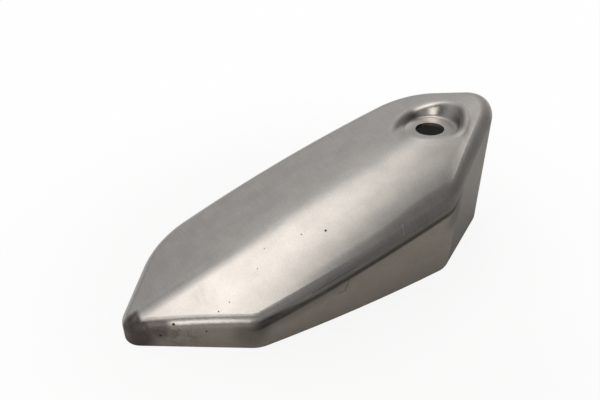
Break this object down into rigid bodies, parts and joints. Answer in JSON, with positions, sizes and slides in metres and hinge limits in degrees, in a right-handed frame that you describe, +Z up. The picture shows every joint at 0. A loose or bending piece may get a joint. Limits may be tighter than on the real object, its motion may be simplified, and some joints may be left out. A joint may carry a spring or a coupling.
{
  "type": "exhaust heat shield",
  "caption": "Pressed stainless cover with a wedge form, a roof of two facets, an open underside and a sunk bolt seat; it keeps touch and heat away from a hot exhaust.",
  "frame": {"origin": "middle of the bounding box, on the plane that the rim stands on", "axes": "+X along the spine from the low tip to the tall tip, +Y towards the flatter roof facet, +Z up"},
  "size_m": [0.129, 0.0515, 0.0448],
  "materials": {
    "stainless": "satin brushed stainless sheet, lightly scratched, with stains near the low tip"
  },
  "bodies": {
    "root": {"heat_shield": "stainless"}
  },
  "joints": []
}
